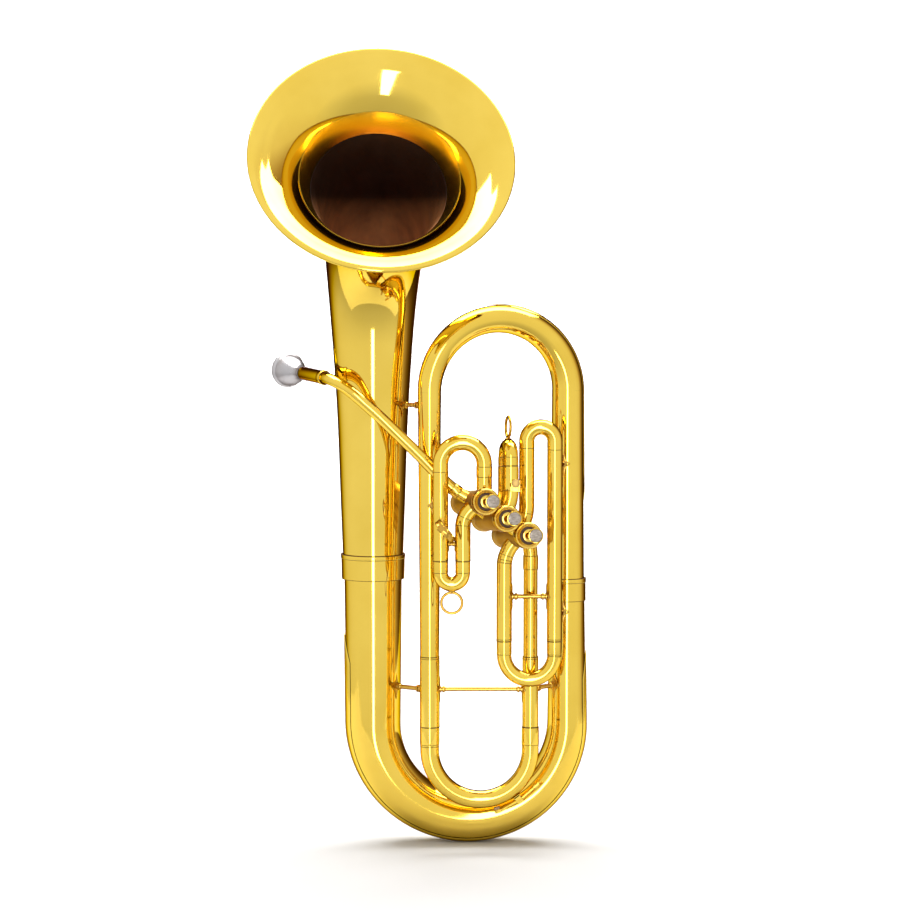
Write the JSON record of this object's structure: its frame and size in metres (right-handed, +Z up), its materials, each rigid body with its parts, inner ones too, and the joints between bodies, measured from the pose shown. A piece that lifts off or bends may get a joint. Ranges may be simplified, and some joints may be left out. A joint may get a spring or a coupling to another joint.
{
  "type": "baritone horn",
  "caption": "Bell-front brass baritone horn with front-action piston valves, sprung finger buttons, pull-out tuning and valve slides, a water key and a silver mouthpiece.",
  "frame": {"origin": "lowest point of the bottom bow's guard, below the middle of the bow", "axes": "+Z up along the bell stem, -Y the way the bell faces, +X to the right branch tube"},
  "size_m": [0.3548, 0.3022, 0.8528],
  "materials": {
    "lacquered_brass": "clear-lacquered polished yellow brass",
    "bare_brass": "worn lacquer on brass, duller",
    "silver_plate": "polished silver plate",
    "nickel_plate": "lapped nickel plate",
    "spring_steel": "drawn spring wire",
    "pearl": "pearl inlay, polished"
  },
  "bodies": {
    "horn_body": {"bell": "lacquered_brass", "bell_ferrule": "lacquered_brass", "bottom_bow": "lacquered_brass", "branch_ferrule": "lacquered_brass", "bottom_bow_guard": "lacquered_brass", "right_branch_tube": "lacquered_brass", "top_bow": "lacquered_brass", "top_bow_guard": "lacquered_brass", "left_branch_tube": "lacquered_brass", "tuning_sleeve_left": "lacquered_brass", "tuning_sleeve_right": "lacquered_brass", "tuning_leg": "lacquered_brass", "first_slide_arch": "lacquered_brass", "first_slide_elbow": "lacquered_brass", "second_slide_sleeve_back": "lacquered_brass", "second_slide_sleeve_front": "lacquered_brass", "third_slide_arch": "lacquered_brass", "third_slide_elbow": "lacquered_brass", "leadpipe": "lacquered_brass", "mouthpiece_receiver": "lacquered_brass", "knuckle_1_2": "lacquered_brass", "knuckle_2_3": "lacquered_brass", "bell_brace": "lacquered_brass", "bow_brace_left": "lacquered_brass", "tuning_brace": "lacquered_brass", "bow_brace_right": "lacquered_brass", "third_slide_brace": "lacquered_brass", "branch_brace_upper": "lacquered_brass", "branch_brace_lower": "lacquered_brass", "thumb_ring": "lacquered_brass", "lyre_holder": "lacquered_brass", "valve_casing_1": "lacquered_brass", "valve_casing_2": "lacquered_brass", "valve_casing_3": "lacquered_brass", "valve_bottom_cap_1": "bare_brass", "valve_bottom_cap_2": "bare_brass", "valve_bottom_cap_3": "bare_brass", "valve_top_cap_1": "lacquered_brass", "valve_top_cap_2": "lacquered_brass", "valve_top_cap_3": "lacquered_brass", "valve_spring_1": "spring_steel", "valve_spring_2": "spring_steel", "valve_spring_3": "spring_steel"},
    "main_tuning_slide": {"tuning_slide": "lacquered_brass", "water_key_saddle": "lacquered_brass"},
    "water_key_lever": {"water_key": "lacquered_brass"},
    "first_valve_slide": {"first_slide": "lacquered_brass"},
    "second_valve_slide": {"second_slide": "lacquered_brass"},
    "third_valve_slide": {"third_slide": "lacquered_brass"},
    "mouthpiece_body": {"mouthpiece": "silver_plate"},
    "lyre_screw_body": {"lyre_screw": "lacquered_brass"},
    "valve_1": {"valve_piston_1": "nickel_plate", "finger_button_1": "lacquered_brass", "button_pearl_1": "pearl"},
    "valve_2": {"valve_piston_2": "nickel_plate", "finger_button_2": "lacquered_brass", "button_pearl_2": "pearl"},
    "valve_3": {"valve_piston_3": "nickel_plate", "finger_button_3": "lacquered_brass", "button_pearl_3": "pearl"}
  },
  "joints": [
    {"name": "main_tuning_pull", "type": "slide", "parent": "horn_body", "child": "main_tuning_slide", "axis": [0, 0, -1], "range_m": [0, 0.06]},
    {"name": "water_key_open", "type": "hinge", "parent": "main_tuning_slide", "child": "water_key_lever", "pos_m": [0.0543, -0.041, 0.05323], "axis": [0, -1, 0], "range_deg": [0, 10], "stiffness_Nm_per_rad": 0.06, "springref_deg": -20.05},
    {"name": "first_slide_pull", "type": "slide", "parent": "horn_body", "child": "first_valve_slide", "axis": [0, 0, -1], "range_m": [0, 0.022]},
    {"name": "second_slide_pull", "type": "slide", "parent": "horn_body", "child": "second_valve_slide", "axis": [0, 0.0997, 0.995], "range_m": [0, 0.018]},
    {"name": "third_slide_pull", "type": "slide", "parent": "horn_body", "child": "third_valve_slide", "axis": [0, 0, -1], "range_m": [0, 0.05]},
    {"name": "mouthpiece_draw", "type": "slide", "parent": "horn_body", "child": "mouthpiece_body", "axis": [-0.4508, 0.8915, 0.0451], "range_m": [0, 0.03]},
    {"name": "lyre_screw_turn", "type": "hinge", "parent": "horn_body", "child": "lyre_screw_body", "pos_m": [0.0482, -0.0945, 0.4], "axis": [0, -1, 0], "range_deg": [-180, 180]},
    {"name": "valve_1_press", "type": "slide", "parent": "horn_body", "child": "valve_1", "axis": [-0.2127, 0.9723, -0.0974], "range_m": [0, 0.017], "stiffness_N_per_m": 180, "springref_m": -0.02, "deforming": ["valve_spring_1"]},
    {"name": "valve_2_press", "type": "slide", "parent": "horn_body", "child": "valve_2", "axis": [-0.2127, 0.9723, -0.0974], "range_m": [0, 0.017], "stiffness_N_per_m": 180, "springref_m": -0.02, "deforming": ["valve_spring_2"]},
    {"name": "valve_3_press", "type": "slide", "parent": "horn_body", "child": "valve_3", "axis": [-0.2127, 0.9723, -0.0974], "range_m": [0, 0.017], "stiffness_N_per_m": 180, "springref_m": -0.02, "deforming": ["valve_spring_3"]}
  ]
}
